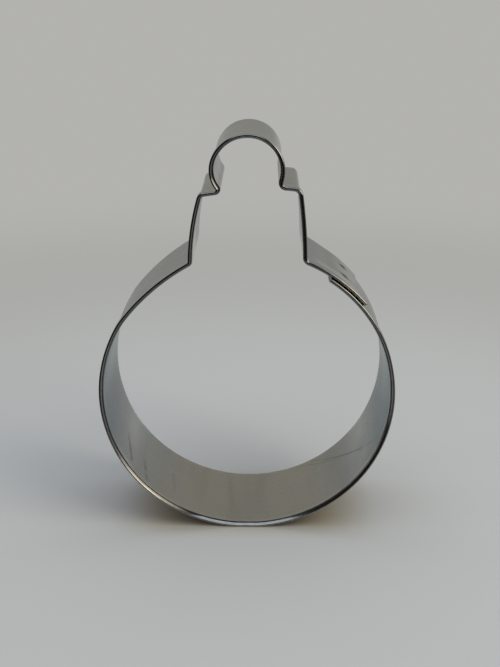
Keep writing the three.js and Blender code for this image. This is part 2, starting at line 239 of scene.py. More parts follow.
class CutterStage(bpy.types.PropertyGroup):
    """Floor, light and camera."""

    floor_near: colour("Floor near", "Floor under the cutter", 0.49, 0.505, 0.512)
    floor_under: colour("Floor under", "Floor under the strip, in warm shade", 0.37, 0.34, 0.275)
    # Painted shade: the floor behind the cutter is darker than the backdrop, for less light at the foot of
    # the sweep
    floor_far_shaded: colour("Floor far", "Floor behind the cutter, before the backdrop", 0.395, 0.4, 0.38)
    backdrop: colour("Backdrop", "Pale ground that the floor fades into", 0.45, 0.447, 0.425)
    floor_radius: length("Floor radius", "Radius of the floor", 3500.0)
    fade_from: length("Fade from", "Where the floor starts to fade into the backdrop", 55.0)
    fade_to: length("Fade to", "Where the floor has faded into the backdrop", 260.0)
    dome_high: colour("Dome high", "Even light on the floor from above", 0.9, 0.94, 0.985)
    dome_strength: FloatProperty(
        name="Dome strength", description="Strength of the light from above", default=1.2
    )
    dome_low: colour("Dome low", "Even light on the floor from near the horizon", 0.16, 0.1, 0.045)
    room_front: colour("Room front", "Dim room behind the camera, seen in the steel", 0.012, 0.011, 0.01)
    room_right: colour("Room right", "Pale wall to the right, seen in the steel", 0.2, 0.195, 0.185)
    window: colour("Window", "Low warm light to the right, seen in the steel", 1.0, 0.9, 0.73)
    room_left: colour("Room left", "How much dimmer the room is behind to the left", 0.36, 0.375, 0.37)
    room_floor: colour("Room floor", "Floor behind the cutter, seen in the steel", 0.185, 0.215, 0.23)
    room_far: colour("Room far", "Floor further behind, seen in the steel", 0.595, 0.6, 0.565)
    room_low: colour("Room low", "Foot of the backdrop, seen in the steel", 0.355, 0.36, 0.342)
    room_back: colour("Room back", "Upper backdrop, seen in the steel", 0.4, 0.37, 0.3)
    room_high: colour("Room high", "Dim room above the backdrop, seen in the steel", 0.28, 0.285, 0.285)
    table_front: colour("Table front", "Floor in front, seen in the steel", 0.18, 0.18, 0.175)
    table_edge: length("Table edge", "Where the floor that the steel sees ends in front", -70.0)
    table_fade: length("Table fade", "How softly that floor ends", 12.0)
    pool_from: length("Pool from", "Where the lit floor that the steel sees starts to fade", 45.0)
    pool_to: length("Pool to", "Where that lit floor has faded into the room", 100.0)
    key_power: watts("Key power", "Soft light that casts the shadow", 3.4)
    key_colour: colour("Key colour", "Colour of the shadow's light", 1.0, 0.93, 0.78)
    key_size: length("Key size", "Side of the key light", 600.0)
    key_azimuth: angle("Key azimuth", "Key light's direction, right of the camera", 62.0)
    key_height: angle("Key height", "Key light above the floor", 42.0)
    glint_power: watts("Glint power", "Small warm light that the steel shows", 1.0)
    glint_colour: colour("Glint colour", "Colour of the small warm light", 1.0, 0.9, 0.72)
    glint_size: length("Glint size", "Side of the small warm light", 450.0)
    glint_azimuth: angle("Glint azimuth", "Small light's direction, right of the camera", 45.0)
    glint_height: angle("Glint height", "Small light above the floor", 17.0)
    top_power: watts("Top power", "Soft light from above", 2.4)
    top_colour: colour("Top colour", "Colour of the light from above", 0.88, 0.95, 1.0)
    top_size: length("Top size", "Side of the top light", 1000.0)
    top_azimuth: angle("Top azimuth", "Top light's direction, right of the camera", 0.0)
    top_height: angle("Top height", "Top light above the floor", 65.0)
    lamp_distance: length("Lamp distance", "The three lights from the cutter", 1000.0)
    focal: length("Focal length", "Lens, for a sensor whose long side is 36 mm", 55.05)
    camera_x: length("Camera x", "Camera's place to the right", 3.41)
    camera_y: length("Camera y", "Camera's place in depth, less than zero in front", -198.26)
    camera_z: length("Camera z", "Camera's height above the floor", 112.78)
    camera_tilt: angle("Camera tilt", "Camera's angle up from straight down", 69.69)
    camera_yaw: angle("Camera yaw", "Camera's turn to the left", 0.836)
    near_clip: length("Near clip", "Nearest distance that the camera shows", 10.0)


# Outline of the strip

def polar(radius, turn, centre=(0.0, 0.0)):
    """The point at a radius and an angle about a centre, for one angle or for many."""
    spot = radius * np.stack([np.cos(turn), np.sin(turn)], axis=-1)
    return spot + np.asarray(centre)


def left_of(direction):
    """A direction turned a quarter turn to the left."""
    return np.stack([-direction[..., 1], direction[..., 0]], axis=-1)


def unit(vector):
    """A vector scaled to length one."""
    return vector / np.linalg.norm(vector, axis=-1, keepdims=True)


def across(a, b):
    """The cross product of two plane vectors."""
    return a[0] * b[1] - a[1] * b[0]


class Edge:
    """One stretch of the outline: a straight, or an arc that turns left (1) or right (-1)."""

    def __init__(self, start, end, centre=None, radius=0.0, turn=-1):
        self.start = np.asarray(start, float)
        self.end = np.asarray(end, float)
        self.centre = None if centre is None else np.asarray(centre, float)
        self.radius = radius
        self.turn = turn

    def direction(self, place):
        """The way that the edge runs at a place on it."""
        if self.centre is None:
            return unit(self.end - self.start)
        return -left_of(unit(place - self.centre))

    def left_distance(self, place):
        """How far a place lies to the left of the edge, and the way in which that grows."""
        if self.centre is None:
            growth = left_of(unit(self.end - self.start))
            return (place - self.start) @ growth, growth
        spoke = place - self.centre
        return np.linalg.norm(spoke) - self.radius, unit(spoke)

    def points(self, gap, turn_step):
        """Points along the edge without its first, evenly spaced, at most a gap and a turn apart."""
        if self.centre is None:
            steps = max(1, math.ceil(np.linalg.norm(self.end - self.start) / gap))
            share = np.arange(1, steps + 1)[:, None] / steps
            return self.start + share * (self.end - self.start)
        first = math.atan2(*(self.start - self.centre)[::-1])
        last = math.atan2(*(self.end - self.centre)[::-1])
        sweep = self.turn * ((self.turn * (last - first)) % (2 * math.pi))
        steps = max(2, math.ceil(max(abs(sweep) * self.radius / gap, abs(sweep) / turn_step)))
        return polar(self.radius, first + sweep * np.arange(1, steps + 1) / steps, self.centre)


def arc_between(start, end, radius):
    """The arc of a radius that turns right from one point to another."""
    chord = end - start
    to_centre = math.sqrt(radius**2 - chord @ chord / 4)
    centre = (start + end) / 2 - to_centre * left_of(unit(chord))
    return Edge(start, end, centre, radius)


def bend_between(before, after, inside_radius, thickness):
    """The arc that touches two edges. Its centre lies one radius to the same side of both of them,
    which Newton's method finds from their left distances."""
    corner = before.end
    side = np.sign(across(before.direction(corner), after.direction(corner)))
    radius = inside_radius + (thickness if side > 0 else 0.0)
    middle = unit(before.left_distance(corner)[1] + after.left_distance(corner)[1])
    centre = corner + side * radius * middle
    newton_rounds = 20
    for _ in range(newton_rounds):
        distances, growths = zip(before.left_distance(centre), after.left_distance(centre))
        centre = centre + np.linalg.solve(np.array(growths), side * radius - np.array(distances))
    start = centre - side * radius * before.left_distance(centre)[1]
    end = centre - side * radius * after.left_distance(centre)[1]
    return Edge(start, end, centre, radius, int(side))


class Sizes:
    """Sizes that follow from the strip, the outline and the lap."""

    def __init__(self, scene):
        self.strip, self.outline, self.lap = scene.cutter_strip, scene.cutter_outline, scene.cutter_lap
        strip, outline, lap = self.strip, self.outline, self.lap
        self.hem = 2 * strip.sheet + strip.hem_slit
        self.front = -strip.width / 2
        self.back = strip.width / 2
        self.hem_back = self.front + strip.hem_width
        self.fold_centre = np.array([self.hem - strip.fold_radius, self.front + strip.fold_radius])
        to_bevel = strip.bevel_radius - strip.fold_radius
        self.bevel_centre = polar(to_bevel, strip.bevel_end, self.fold_centre)
        self.bevel_start = math.acos(self.bevel_centre[0] / strip.bevel_radius)
        self.nose = self.bevel_centre[1] - strip.bevel_radius * math.sin(self.bevel_start)
        self.slit_end = self.front + 2 * strip.sheet
        self.weld_depths = np.array([-lap.weld_pitch, 0.0]) + self.back - lap.weld_rear_inset
        self.contact = self.weld_depths[0] - lap.weld_diameter
        self.rest_angle = math.asin(outline.rest_flat / 2 / outline.ball_radius)
        self.rest_height = outline.ball_radius * math.cos(self.rest_angle) + self.hem
        self.covered_radius = outline.ball_radius + lap.end_spring
        self.lap_radius = self.covered_radius + self.hem + lap.hem_gap
        self.lap_drop = self.hem + lap.hem_gap - strip.sheet - lap.sheet_gap
        self.lap_start = lap.end + lap.overlap / self.lap_radius
        self.lap_corner = math.acos(outline.neck_right_base / self.lap_radius)
        self.weld_angle = (self.lap_start + lap.end) / 2


def outline_edges(sizes):
    """The outline, clockwise from the covered end: each edge with the radius of the bend after it."""
    o, lap = sizes.outline, sizes.lap
    middle = np.zeros(2)
    loop_centre = np.array([o.loop_offset, o.loop_height])
    floor = -math.pi / 2
    margin_share = 1 / 3
    fine_margin = margin_share * lap.overlap / o.ball_radius
    covered_end = polar(o.ball_radius, sizes.lap_start)
    covered_fine = polar(o.ball_radius, lap.end - fine_margin)
    rest_right = polar(o.ball_radius, floor + sizes.rest_angle)
    rest_left = polar(o.ball_radius, floor - sizes.rest_angle)
    shoulder_start = polar(o.ball_radius, o.shoulder_start)
    shoulder_foot = np.array([-o.neck_left_base, o.shoulder_foot])
    step_left = np.array([-o.neck_left_top, o.neck_left_height])
    notch_left = np.array([-o.notch_left, o.notch_left_height])
    loop_left = polar(o.loop_radius, o.loop_left_end, loop_centre)
    loop_right = polar(o.loop_radius, o.loop_right_end, loop_centre)
    notch_right = np.array([o.notch_right, o.notch_right_height])
    step_right = np.array([o.neck_right_top, o.neck_right_height])
    lap_corner = polar(sizes.lap_radius, sizes.lap_corner)
    lap_end = polar(sizes.lap_radius, lap.end)
    return [
        (Edge(covered_end, covered_fine, middle, o.ball_radius), None),
        (Edge(covered_fine, rest_right, middle, o.ball_radius), None),
        (Edge(rest_right, rest_left), None),
        (Edge(rest_left, shoulder_start, middle, o.ball_radius), o.ball_blend_bend),
        (arc_between(shoulder_start, shoulder_foot, o.shoulder_curve), o.shoulder_left_bend),
        (arc_between(shoulder_foot, step_left, o.neck_left_curve), o.step_left_bend),
        (Edge(step_left, notch_left), o.notch_left_bend),
        (Edge(notch_left, loop_left), o.loop_left_bend),
        (Edge(loop_left, loop_right, loop_centre, o.loop_radius), o.loop_right_bend),
        (Edge(loop_right, notch_right), o.notch_right_bend),
        (Edge(notch_right, step_right), o.step_right_bend),
        (arc_between(step_right, lap_corner, o.neck_right_curve), o.shoulder_right_bend),
        (Edge(lap_corner, lap_end, middle, sizes.lap_radius), None),
    ]


def outline_stations(sizes):
    """Points all along the outline, with two masks: stations of the covered end and of the covering end."""
    strip = sizes.strip
    edges, bends = zip(*outline_edges(sizes))
    arcs = [
        None if radius is None else bend_between(edges[i], edges[i + 1], radius, sizes.hem)
        for i, radius in enumerate(bends)
    ]
    for i, arc in enumerate(arcs):
        if arc is not None:
            edges[i].end = arc.start
            edges[i + 1].start = arc.end
    last = len(edges) - 1
    covered_edges = 2
    runs = [edges[0].start[None]]
    covered, covering = [np.array([True])], [np.array([False])]
    for i, edge in enumerate(edges):
        gap = strip.fine_gap if i in (0, last) else strip.station_gap
        for piece in (edge, arcs[i]):
            if piece is not None:
                run = piece.points(gap, strip.turn_step)
                runs.append(run)
                covered.append(np.full(len(run), i < covered_edges))
                covering.append(np.full(len(run), i == last))
    return np.concatenate(runs), np.concatenate(covered), np.concatenate(covering)


# Section of the strip

def strip_rows(sizes):
    """Depths of the mesh rows across the sheet, from the cutting edge to the fold, closer at the welds."""
    strip, lap = sizes.strip, sizes.lap
    start, end = sizes.back - strip.edge_round, sizes.nose
    plain = np.linspace(start, end, math.ceil((start - end) / strip.row_gap) + 1)
    print_share = 0.75
    reach = print_share * lap.weld_diameter
    print_rows = np.linspace(-reach, reach, math.ceil(2 * reach / strip.fine_gap) + 1)
    fine = (sizes.weld_depths[:, None] + print_rows).ravel()
    clear = np.abs(plain[:, None] - sizes.weld_depths).min(axis=1) > reach + strip.fine_gap
    crisp = [start - strip.edge_round, sizes.hem_back, sizes.nose + strip.edge_round]
    rows = np.concatenate([plain[clear], fine, crisp])
    return np.sort(rows)[::-1]


def quarter_round(corner, radius, first):
    """Three points round a corner of the section, from one angle through a quarter turn."""
    places = np.radians([15.0, 45.0, 75.0])
    return polar(radius, first + places, corner)


def strip_section(sizes):
    """The folded sheet as pairs of points on its two faces, as (outward, depth): the bare sheet, the nose
    and the flap that lies back on the sheet. The nose is a slow bevel on the inside and a tight fold on the
    outside, both arcs, and the slit behind it is a half ellipse. The sheared edges are round."""
    strip = sizes.strip
    rows = strip_rows(sizes)
    arc_points = 13
    flap_points = 5
    bevel_turns = np.linspace(sizes.bevel_start, strip.bevel_end, arc_points)[1:] + math.pi
    fold_turns = np.linspace(strip.bevel_end, math.pi, arc_points)[1:-1] + math.pi
    slit_points = len(bevel_turns) + len(fold_turns) + 2
    slit_turns = np.linspace(0.0, math.pi, slit_points)[1:-1] + math.pi
    slit_size = np.array([strip.hem_slit / 2, sizes.nose - sizes.slit_end])
    flap_end = sizes.hem_back - strip.edge_round

    def flap_rows(front):
        """Depths of the flap's rows, from a place near the nose to the flap's raw edge."""
        plain = np.linspace(front, flap_end, flap_points)
        return np.append(plain[:-1], [flap_end - strip.edge_round, flap_end])

    flap = flap_rows(sizes.front + strip.fold_radius)
    slit_flap = flap_rows(sizes.nose)
    inner = np.concatenate([
        np.column_stack([np.zeros(len(rows)), rows]),
        polar(strip.bevel_radius, bevel_turns, sizes.bevel_centre),
        polar(strip.fold_radius, fold_turns, sizes.fold_centre),
        np.column_stack([np.full(len(flap), sizes.hem), flap]),
    ])
    outer = np.concatenate([
        np.column_stack([np.full(len(rows), strip.sheet), rows]),
        polar(slit_size, slit_turns, (sizes.hem / 2, sizes.nose)),
        np.column_stack([np.full(len(slit_flap), sizes.hem - strip.sheet), slit_flap]),
    ])
    r = strip.edge_round
    raw_edge = np.concatenate([
        quarter_round((sizes.hem - r, flap_end), r, 0.0),
        quarter_round((sizes.hem - strip.sheet + r, flap_end), r, math.pi / 2),
    ])
    cutting_edge = np.concatenate([
        quarter_round((strip.sheet - r, rows[0]), r, 0.0),
        quarter_round((r, rows[0]), r, math.pi / 2),
    ])
    return inner, raw_edge, outer[::-1], cutting_edge


def smooth_step(value, low, high):
    """Rises from 0 at low to 1 at high along a smooth curve."""
    t = np.clip((value - low) / (high - low), 0.0, 1.0)
    return t * t * (3 - 2 * t)


def lap_stand_off(sizes, turns, depths, covered, covering):
    """How far the strip stands off its outline. The covered end springs out a little. The covering end
    clears the hem beneath it at the front, and closes down onto the bare sheet at the welds."""
    lap = sizes.lap
    spring = lap.end_spring * smooth_step(turns, lap.spring_from, lap.spring_to) * covered
    along = 1 - smooth_step(turns, sizes.lap_start, sizes.lap_corner)
    behind = smooth_step(depths, sizes.hem_back, sizes.contact)
    drop = -sizes.lap_drop * np.outer(along * covering, behind)
    return spring[:, None] + drop


def weld_distance(sizes, turns, depths):
    """Distance along the sheet from each point to the nearer weld's middle."""
    along = (turns - sizes.weld_angle) * sizes.covered_radius
    gaps = [np.hypot(along[:, None], depths - depth) for depth in sizes.weld_depths]
    return np.minimum(*gaps)


def weld_print(sizes, distance):
    """The electrode's print: a flat-bottomed dish, one weld wide, with a low lip round it."""
    lap = sizes.lap
    radius = lap.weld_diameter / 2
    floor_radius, lip_radius, lip_width = radius * np.array([0.55, 1.15, 0.18])
    dish = 1 - smooth_step(distance, floor_radius, radius)
    lip = np.exp(-(((distance - lip_radius) / lip_width) ** 2))
    return lap.print_depth * dish - lap.print_lip * lip


# Meshes

def new_piece(name, vertices, faces, material):
    """A smooth mesh object at the origin, with its place in its vertices."""
    mesh = bpy.data.meshes.new(name)
    mesh.from_pydata(vertices.reshape(-1, 3), [], faces)
    mesh.validate()
    mesh.polygons.foreach_set("use_smooth", np.ones(len(mesh.polygons), bool))
    mesh.materials.append(material)
    piece = bpy.data.objects.new(name, mesh)
    bpy.context.scene.collection.objects.link(piece)
    return piece


def grid_faces(rows, columns):
    """Four-sided faces of a grid of points, row by row, whose rows close on themselves."""
    row = np.arange(rows - 1)[:, None] * columns
    column = np.arange(columns)[None]
    following = (column + 1) % columns
    corners = [row + column, row + columns + column, row + columns + following, row + following]
    return np.stack(corners, axis=-1).reshape(-1, 4)


def fan(first, count, pole):
    """Three-sided faces from a closed row of points to a pole."""
    here = np.arange(count)
    return np.column_stack([first + here, first + (here + 1) % count, np.full(count, pole)])


def paint(piece, name, values):
    """Stores one number for each vertex."""
    layer = piece.data.attributes.new(name, "FLOAT", "POINT")
    layer.data.foreach_set("value", np.ascontiguousarray(values.ravel(), np.float32))


def section_caps(inner, raw_edge, outer, cutting_edge):
    """Faces that close the section: a ladder between its two faces, and the two round edges."""
    count = len(inner)
    total = count + len(raw_edge) + len(outer) + len(cutting_edge)
    near = np.arange(count)
    far = count + len(raw_edge) + np.arange(count)[::-1]
    ladder = np.stack([near[:-1], near[1:], far[1:], far[:-1]], axis=-1)
    raw = np.arange(count - 1, count + len(raw_edge) + 1)
    cut = np.append(np.arange(far[0], total), 0)
    return [*ladder.tolist(), raw.tolist(), cut.tolist()]


def outer_face(parts):
    """Which points of the whole section lie on the sheet's outer face, the slit included."""
    lengths = [len(part) for part in parts]
    return np.repeat([False, False, True, False], lengths)


def strip_mesh(sizes):
    """The folded section carried along the outline: each station's section is set square to the outline
    there, at a height above the floor, and moved outward by the lap's stand-off and the weld prints."""
    at, covered, covering = outline_stations(sizes)
    parts = strip_section(sizes)
    section = np.concatenate(parts)
    outward, depths = section[:, 0], section[:, 1]
    normals = left_of(unit(np.diff(at, axis=0)))
    before = np.concatenate([normals[:1], normals])
    after = np.concatenate([normals, normals[-1:]])
    mitre = unit(before + after)
    stretch = 1 / np.sum(mitre * after, axis=1)
    turns = np.arctan2(at[:, 1], at[:, 0])

    offset = outward + lap_stand_off(sizes, turns, depths, covered, covering)
    distance = weld_distance(sizes, turns, depths)
    dent = weld_print(sizes, distance)
    on_inner = np.arange(len(section)) < len(parts[0])
    offset += dent * np.outer(covered, on_inner)
    offset -= dent * np.outer(covering, outer_face(parts))

    reach = offset * stretch[:, None]
    vertices = np.empty((len(at), len(section), 3))
    vertices[..., 0] = at[:, 0, None] + reach * mitre[:, 0, None]
    vertices[..., 1] = depths
    vertices[..., 2] = at[:, 1, None] + reach * mitre[:, 1, None] + sizes.rest_height

    faces = grid_faces(len(at), len(section)).tolist()
    caps = section_caps(*parts)
    last = (len(at) - 1) * len(section)
    faces += caps
    faces += [[last + corner for corner in reversed(face)] for face in caps]
    in_lap = np.where(covered | covering, 1, np.inf)
    return vertices, faces, distance * in_lap[:, None], parts, at


def developed_length(points):
    """Running length along a row of points."""
    steps = np.linalg.norm(np.diff(points, axis=0), axis=1)
    return np.concatenate([[0.0], np.cumsum(steps)])


def strip_uv(piece, at, section):
    """A map of the strip laid flat, in metres: length along the strip, and distance round its section.
    The section's closing row of faces runs on past the last distance, so that the grain isn't squeezed."""
    along = developed_length(at)
    round_section = developed_length(section)
    closing = round_section[-1] + np.linalg.norm(section[0] - section[-1])
    size = len(section)
    corners = np.empty(len(piece.data.loops), np.int32)
    piece.data.loops.foreach_get("vertex_index", corners)
    u = along[corners // size]
    v = round_section[corners % size]
    quad = 4
    swept = quad * (len(at) - 1) * size
    quads = corners[:swept].reshape(-1, quad) % size
    wraps = (quads.max(axis=1) == size - 1) & (quads.min(axis=1) == 0)
    quad_v = v[:swept].reshape(-1, quad)
    quad_v[wraps[:, None] & (quads == 0)] = closing
    v[:swept] = quad_v.ravel()
    layer = piece.data.uv_layers.new(name=STRIP_UV)
    layer.data.foreach_set("uv", np.column_stack([u, v]).astype(np.float32).ravel())


def paint_strip(piece, sizes, distance, parts, stations):
    """Masks of the strip: rubbed edges, heat round the welds, and the painted shade and dirt inside the
    fold.
    """
    section = np.concatenate(parts)
    outward, depths = section[:, 0], section[:, 1]
    strip, lap = sizes.strip, sizes.lap
    rub = 0.35 * MM
    # Painted shade and dirt: full inside the fold, fading out just behind the flap's raw edge
    dirt_and_shade_from = sizes.hem_back - 0.1 * MM
    dirt_and_shade_to = sizes.hem_back + 0.3 * MM
    on_flap = outward > strip.sheet + strip.hem_slit
    cutting = np.exp(-(((sizes.back - depths) / rub) ** 2))
    nose = smooth_step(-depths, -sizes.nose - rub, -sizes.nose)
    fold_edge = np.exp(-(((depths - sizes.hem_back) / rub) ** 2)) * on_flap
    wear = np.maximum.reduce([cutting, nose, fold_edge])
    crevice = outer_face(parts) * (1 - smooth_step(depths, dirt_and_shade_from, dirt_and_shade_to))
    heat = np.exp(-((distance / lap.weld_diameter) ** 2))
    paint(piece, WEAR, np.broadcast_to(wear, (stations, len(section))))
    paint(piece, CREVICE, np.broadcast_to(crevice, (stations, len(section))))
    paint(piece, HEAT, heat)


def weld_mesh(sizes, depth):
    """A weld turned about the spoke through its middle: the profile runs from the outer face's middle over
    the dished end, down the side and back to the inner face's middle."""
    strip, lap = sizes.strip, sizes.lap
    rim_shares = np.array([0.25, 0.5, 0.7, 0.76])
    dip_shares = np.array([0.9, 0.6, 0.3, 1.0])
    side_count = 36
    half = strip.sheet + lap.sheet_gap / 2 - lap.print_depth + lap.print_cover
    rims = lap.weld_diameter / 2 * rim_shares
    heights = half - lap.print_cover * dip_shares
    profile = np.concatenate([np.column_stack([rims, heights]), np.column_stack([rims, -heights])[::-1]])
    turns = np.linspace(0.0, 2 * math.pi, side_count, endpoint=False)
    middle = sizes.covered_radius + strip.sheet + lap.sheet_gap / 2
    spoke = np.array([math.cos(sizes.weld_angle), 0.0, math.sin(sizes.weld_angle)])
    side = np.array([spoke[2], 0.0, -spoke[0]])
    centre = middle * spoke + np.array([0.0, depth, sizes.rest_height])
    ring = np.cos(turns)[:, None] * side + np.sin(turns)[:, None] * np.array([0.0, 1.0, 0.0])
    body = centre + profile[:, None, :1] * ring + profile[:, None, 1:] * spoke
    dip = (half - lap.print_cover) * spoke
    last = (len(profile) - 1) * side_count
    pole = len(profile) * side_count
    faces = grid_faces(len(profile), side_count).tolist()
    faces += fan(0, side_count, pole).tolist()
    faces += fan(last, side_count, pole + 1)[:, ::-1].tolist()
    return np.concatenate([body.reshape(-1, 3), [centre + dip, centre - dip]]), faces


# Shader nodes

# Sockets of a mix node that blends colours
MIX_INPUTS = (0, 6, 7)
MIX_RESULT = 2


def fill(tree, socket, value):
    """Gives a socket a plain value, or a link from another socket."""
    if isinstance(value, bpy.types.NodeSocket):
        tree.links.new(value, socket)
    else:
        socket.default_value = value


def add(tree, kind, inputs=None, **settings):
    """Adds a node, sets its options and fills its inputs."""
    made = tree.nodes.new(kind)
    for name, value in settings.items():
        setattr(made, name, value)
    for name, value in (inputs or {}).items():
        fill(tree, made.inputs[name], value)
    return made


def maths(tree, operation, *values):
    """One maths node's result."""
    return add(tree, "ShaderNodeMath", dict(enumerate(values)), operation=operation).outputs[0]


def times(tree, a, b):
    """The product of two values."""
    return maths(tree, "MULTIPLY", a, b)


def ramp(tree, value, low, high, to_low=0.0, to_high=1.0):
    """A value that runs smoothly from one number to another between two limits."""
    inputs = {"Value": value, "From Min": low, "From Max": high, "To Min": to_low, "To Max": to_high}
    return add(tree, "ShaderNodeMapRange", inputs, interpolation_type="SMOOTHSTEP").outputs[0]


def fall(tree, value, low, high, to_high=0.0):
    """A value that runs smoothly from 1 down to a number between two limits."""
    return ramp(tree, value, low, high, 1.0, to_high)


def between(tree, value, rise, drop):
    """A mask that rises between one pair of limits and falls between another."""
    return times(tree, ramp(tree, value, *rise), fall(tree, value, *drop))


def blend(tree, share, a, b, kind="MIX"):
    """Two colours mixed by a share."""
    inputs = dict(zip(MIX_INPUTS, (share, a, b)))
    return add(tree, "ShaderNodeMix", inputs, data_type="RGBA", blend_type=kind).outputs[MIX_RESULT]


def noise(tree, vector, scale, detail):
    """Even noise."""
    inputs = {"Vector": vector, "Scale": scale, "Detail": detail}
    return add(tree, "ShaderNodeTexNoise", inputs).outputs[0]


def stretched_noise(tree, vector, waves, turn=0.0, detail=3.0):
    """Noise on a flat map after a turn, with so many waves in a metre along each axis."""
    placed = add(tree, "ShaderNodeMapping", {"Vector": vector, "Rotation": (0, 0, turn)})
    factors = {0: placed.outputs[0], 1: (*waves, 1.0)}
    sized = add(tree, "ShaderNodeVectorMath", factors, operation="MULTIPLY")
    return noise(tree, sized.outputs[0], scale=1.0, detail=detail)


def opaque(rgb, scale=1.0):
    """A colour with its alpha, made brighter or dimmer by a scale."""
    return (*(part * scale for part in rgb), 1.0)


def new_group(name, inputs, outputs):
    """An empty shader node group with named sockets, and its input and output nodes."""
    kinds = {"value": "NodeSocketFloat", "vector": "NodeSocketVector", "colour": "NodeSocketColor"}
    group = bpy.data.node_groups.new(name, "ShaderNodeTree")
    for label, kind in inputs.items():
        group.interface.new_socket(name=label, in_out="INPUT", socket_type=kinds[kind])
    for label, kind in outputs.items():
        group.interface.new_socket(name=label, in_out="OUTPUT", socket_type=kinds[kind])
    entry = group.nodes.new("NodeGroupInput")
    leave = group.nodes.new("NodeGroupOutput")
    return group, entry.outputs, leave.inputs


def put(tree, name, inputs):
    """Places a node group in a material with its own values, and gives its outputs."""
    return add(tree, "ShaderNodeGroup", inputs, node_tree=bpy.data.node_groups[name]).outputs


def rolled_grain_group():
    """Fine lines that the rolls leave along the strip, and slower streaks of tone beside them."""
    group, entry, leave = new_group("Rolled grain", {"Map": "vector"}, {"Height": "value", "Tone": "value"})
    share = 0.5
    fine = stretched_noise(group, entry["Map"], waves=(90.0, 14000.0), detail=2.0)
    broad = stretched_noise(group, entry["Map"], waves=(25.0, 2600.0), detail=3.0)
    height = maths(group, "MULTIPLY_ADD", broad, share, times(group, fine, share))
    group.links.new(height, leave["Height"])
    group.links.new(ramp(group, broad, low=0.3, high=0.7), leave["Tone"])


def forming_marks_group():
    """Soft bands across the strip, where the bending tools pressed it, and slow waves."""
    group, entry, leave = new_group("Forming marks", {"Map": "vector"}, {"Mask": "value", "Height": "value"})
    bands = stretched_noise(group, entry["Map"], waves=(160.0, 26.0), detail=2.0)
    slow = stretched_noise(group, entry["Map"], waves=(45.0, 30.0), detail=1.0)
    group.links.new(ramp(group, bands, low=0.42, high=0.68), leave["Mask"])
    group.links.new(slow, leave["Height"])


def hairlines_group():
    """Thin stray scratches at three slants, broken into short lengths."""
    group, entry, leave = new_group(
        "Hairline scratches", {"Map": "vector", "Amount": "value"}, {"Mask": "value"}
    )
    slants = np.radians([24.0, -37.0, 71.0])
    either = 0.0
    for slant in slants:
        lines = stretched_noise(group, entry["Map"], waves=(110.0, 6200.0), turn=slant, detail=1.0)
        patches = stretched_noise(group, entry["Map"], waves=(140.0, 140.0), turn=slant, detail=1.0)
        thin = ramp(group, lines, low=0.69, high=0.76)
        broken = ramp(group, patches, low=0.5, high=0.62)
        either = maths(group, "MAXIMUM", either, times(group, thin, broken))
    group.links.new(times(group, either, entry["Amount"]), leave["Mask"])


def long_mark_group():
    """One long mark: the map is moved to its start and turned along it, bent by a parabola that is zero at
    both ends and one in the middle, and faded with the distance to that line and towards the ends."""
    inputs = {"Map": "vector", "Start": "vector"}
    inputs |= dict.fromkeys(("Turn", "Length", "Bow", "Width"), "value")
    group, entry, leave = new_group("Long mark", inputs, {"Mask": "value"})
    end_fade = 0.2
    to_one = 4.0
    moved = add(group, "ShaderNodeVectorMath", {0: entry["Map"], 1: entry["Start"]}, operation="SUBTRACT")
    back = maths(group, "MULTIPLY", entry["Turn"], -1.0)
    turn = {"Vector": moved.outputs[0], "Angle": back}
    turned = add(group, "ShaderNodeVectorRotate", turn, rotation_type="Z_AXIS")
    axes = add(group, "ShaderNodeSeparateXYZ", {0: turned.outputs[0]}).outputs
    share = maths(group, "DIVIDE", axes["X"], entry["Length"])
    parabola = times(group, times(group, share, maths(group, "SUBTRACT", 1.0, share)), to_one)
    aside = maths(group, "SUBTRACT", axes["Y"], times(group, parabola, entry["Bow"]))
    widths = maths(group, "DIVIDE", maths(group, "ABSOLUTE", aside), entry["Width"])
    line = fall(group, widths, 0.0, 1.0)
    ends = between(group, share, (0.0, end_fade), (1.0 - end_fade, 1.0))
    chatter = stretched_noise(group, entry["Map"], waves=(600.0, 600.0), detail=2.0)
    drawn = times(group, times(group, line, ends), ramp(group, chatter, low=0.2, high=0.6))
    group.links.new(drawn, leave["Mask"])


def marks_mask(tree, flat, marks):
    """The strongest of several long marks at each place."""
    total = 0.0
    for mark in marks:
        run = np.subtract(mark.end, mark.start)
        values = {
            "Map": flat,
            "Start": (mark.start[0] * MM, mark.start[1] * MM, 0.0),
            "Turn": math.atan2(run[1], run[0]),
            "Length": float(np.hypot(*run)) * MM,
            "Bow": mark.bow * MM,
            "Width": mark.width * MM,
        }
        drawn = put(tree, "Long mark", values)["Mask"]
        total = maths(tree, "MAXIMUM", total, times(tree, drawn, mark.strength))
    return total


def edge_wear_group():
    """An edge mask broken up by noise, as rubbing leaves it."""
    group, entry, leave = new_group("Edge wear", {"Map": "vector", "Edge": "value"}, {"Mask": "value"})
    chatter = stretched_noise(group, entry["Map"], waves=(700.0, 900.0), detail=3.0)
    rubbed = ramp(group, chatter, low=0.3, high=0.62)
    group.links.new(times(group, entry["Edge"], rubbed), leave["Mask"])


def heat_tint_group():
    """Colours of heated steel, from straw at the rim through brown to blue-grey in the middle."""
    group, entry, leave = new_group("Heat tint", {"Heat": "value"}, {"Colour": "colour", "Mask": "value"})
    straw, brown, blue_grey = (0.46, 0.42, 0.33), (0.27, 0.2, 0.14), (0.13, 0.14, 0.16)
    rim, halfway, core = 0.1, 0.5, 0.9
    tint = add(group, "ShaderNodeValToRGB", {"Fac": entry["Heat"]})
    stops = tint.color_ramp.elements
    stops[0].position, stops[0].color = rim, opaque(straw)
    stops[1].position, stops[1].color = core, opaque(blue_grey)
    stops.new(halfway).color = opaque(brown)
    group.links.new(tint.outputs[0], leave["Colour"])
    group.links.new(ramp(group, entry["Heat"], low=0.05, high=0.75), leave["Mask"])


# Materials

def attribute(tree, name):
    """A number stored on the mesh."""
    return add(tree, "ShaderNodeAttribute", attribute_name=name).outputs["Fac"]


